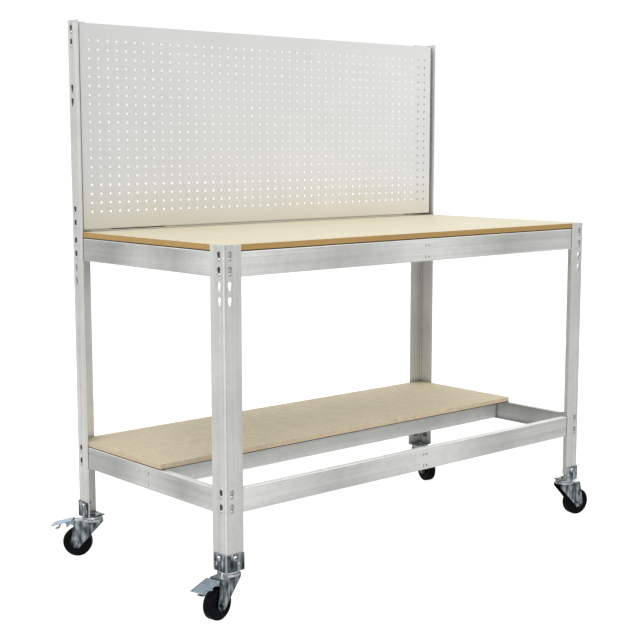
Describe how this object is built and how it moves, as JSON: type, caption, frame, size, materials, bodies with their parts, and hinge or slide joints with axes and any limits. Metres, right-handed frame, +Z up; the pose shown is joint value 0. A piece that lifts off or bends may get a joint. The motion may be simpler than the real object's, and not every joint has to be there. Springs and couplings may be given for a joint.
{
  "type": "assembly table",
  "caption": "Wheeled workshop bench: folded steel frame with slotted angle posts, wooden worktop, half-depth lower shelf, perforated back panel and swivel castors, two with brake pedals.",
  "frame": {"origin": "on the floor, under the middle of the rectangle of the four posts", "axes": "+X along the length towards the user's right, +Y from the open front to the back panel, +Z up"},
  "size_m": [1.6009, 0.8098, 1.555],
  "materials": {
    "galvanised_steel": "galvanised sheet, faint spangle and lengthwise rolling marks",
    "panel_steel": "pale grey coated sheet, satin",
    "worktop_board": "smooth pale fibreboard with browner cut edges",
    "shelf_board": "particle board, fine flakes, bare edges",
    "dark_zinc": "bluish zinc plating on pressed steel",
    "pale_zinc": "pale bluish zinc plating",
    "zinc_plated": "bright zinc plated steel",
    "tyre_rubber": "black hard rubber",
    "wheel_plastic": "black moulded wheel centre"
  },
  "bodies": {
    "frame": {"post_front_left": "galvanised_steel", "post_front_right": "galvanised_steel", "post_back_left": "galvanised_steel", "post_back_right": "galvanised_steel", "top_beam_front": "galvanised_steel", "top_beam_back": "galvanised_steel", "top_beam_left": "galvanised_steel", "top_beam_right": "galvanised_steel", "lower_beam_front": "galvanised_steel", "lower_beam_back": "galvanised_steel", "lower_beam_left": "galvanised_steel", "lower_beam_right": "galvanised_steel", "shelf_front_beam": "galvanised_steel", "worktop_centre_support": "galvanised_steel", "worktop": "worktop_board", "lower_shelf": "shelf_board", "back_panel": "panel_steel", "beam_rivets": "zinc_plated", "panel_rivets": "zinc_plated", "bracket_bolts": "zinc_plated", "bracket_nuts": "zinc_plated", "castor_bracket_front_left": "dark_zinc", "castor_bracket_front_right": "dark_zinc", "castor_bracket_back_left": "dark_zinc", "castor_bracket_back_right": "dark_zinc", "kingpin_front_left": "zinc_plated", "castor_race_front_left": "zinc_plated", "kingpin_front_right": "zinc_plated", "castor_race_front_right": "zinc_plated", "kingpin_back_left": "zinc_plated", "castor_race_back_left": "zinc_plated", "kingpin_back_right": "zinc_plated", "castor_race_back_right": "zinc_plated"},
    "swivel_front_left": {"castor_fork_front_left": "dark_zinc", "wheel_axle_front_left": "zinc_plated", "axle_nut_front_left": "zinc_plated", "pedal_pin_front_left": "zinc_plated"},
    "wheel_front_left": {"wheel_hub_front_left": "wheel_plastic", "tyre_front_left": "tyre_rubber"},
    "pedal_front_left": {"brake_pedal_front_left": "pale_zinc"},
    "swivel_front_right": {"castor_fork_front_right": "dark_zinc", "wheel_axle_front_right": "zinc_plated", "axle_nut_front_right": "zinc_plated"},
    "wheel_front_right": {"wheel_hub_front_right": "wheel_plastic", "tyre_front_right": "tyre_rubber"},
    "swivel_back_left": {"castor_fork_back_left": "dark_zinc", "wheel_axle_back_left": "zinc_plated", "axle_nut_back_left": "zinc_plated", "pedal_pin_back_left": "zinc_plated"},
    "wheel_back_left": {"wheel_hub_back_left": "wheel_plastic", "tyre_back_left": "tyre_rubber"},
    "pedal_back_left": {"brake_pedal_back_left": "pale_zinc"},
    "swivel_back_right": {"castor_fork_back_right": "dark_zinc", "wheel_axle_back_right": "zinc_plated", "axle_nut_back_right": "zinc_plated"},
    "wheel_back_right": {"wheel_hub_back_right": "wheel_plastic", "tyre_back_right": "tyre_rubber"}
  },
  "joints": [
    {"name": "swivel_turn_front_left", "type": "hinge", "parent": "frame", "child": "swivel_front_left", "pos_m": [-0.69375, -0.3291, 0.11], "axis": [0, 0, 1], "continuous": true},
    {"name": "wheel_spin_front_left", "type": "hinge", "parent": "swivel_front_left", "child": "wheel_front_left", "pos_m": [-0.73874, -0.33866, 0.0425], "axis": [0.2079, -0.9781, 0], "continuous": true},
    {"name": "pedal_press_front_left", "type": "hinge", "parent": "swivel_front_left", "child": "pedal_front_left", "pos_m": [-0.73679, -0.33825, 0.098], "axis": [0.2079, -0.9781, 0], "range_deg": [0, 15]},
    {"name": "swivel_turn_front_right", "type": "hinge", "parent": "frame", "child": "swivel_front_right", "pos_m": [0.69375, -0.3291, 0.11], "axis": [0, 0, 1], "continuous": true},
    {"name": "wheel_spin_front_right", "type": "hinge", "parent": "swivel_front_right", "child": "wheel_front_right", "pos_m": [0.73838, -0.34023, 0.0425], "axis": [0.2419, 0.9703, 0], "continuous": true},
    {"name": "swivel_turn_back_left", "type": "hinge", "parent": "frame", "child": "swivel_back_left", "pos_m": [-0.69375, 0.3291, 0.11], "axis": [0, 0, 1], "continuous": true},
    {"name": "wheel_spin_back_left", "type": "hinge", "parent": "swivel_back_left", "child": "wheel_back_left", "pos_m": [-0.7257, 0.36219, 0.0425], "axis": [-0.7193, -0.6947, 0], "continuous": true},
    {"name": "pedal_press_back_left", "type": "hinge", "parent": "swivel_back_left", "child": "pedal_back_left", "pos_m": [-0.72432, 0.36075, 0.098], "axis": [-0.7193, -0.6947, 0], "range_deg": [0, 15]},
    {"name": "swivel_turn_back_right", "type": "hinge", "parent": "frame", "child": "swivel_back_right", "pos_m": [0.69375, 0.3291, 0.11], "axis": [0, 0, 1], "continuous": true},
    {"name": "wheel_spin_back_right", "type": "hinge", "parent": "swivel_back_right", "child": "wheel_back_right", "pos_m": [0.68262, 0.28447, 0.0425], "axis": [0.9703, -0.2419, 0], "continuous": true}
  ]
}
